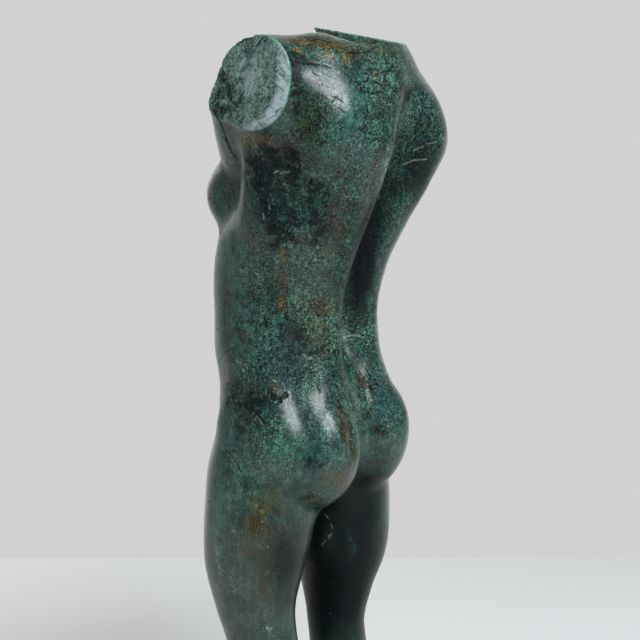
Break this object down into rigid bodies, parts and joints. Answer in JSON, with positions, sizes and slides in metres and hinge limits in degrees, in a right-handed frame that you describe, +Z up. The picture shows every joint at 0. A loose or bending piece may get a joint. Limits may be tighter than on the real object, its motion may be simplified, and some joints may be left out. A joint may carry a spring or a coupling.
{
  "type": "bronze torso sculpture",
  "caption": "Standing female torso in green-patinated cast bronze, without head or arms, cut just under the knees and set on a low dark stone plinth.",
  "frame": {"origin": "centre of the plinth's underside", "axes": "+Z up along the figure; the figure faces -Y and its left side is +X"},
  "size_m": [0.1558, 0.1397, 0.4177],
  "materials": {
    "bronze_patina": "satin",
    "plinth_stone": "satin"
  },
  "bodies": {
    "root": {"torso": "bronze_patina", "plinth": "plinth_stone"}
  },
  "joints": []
}
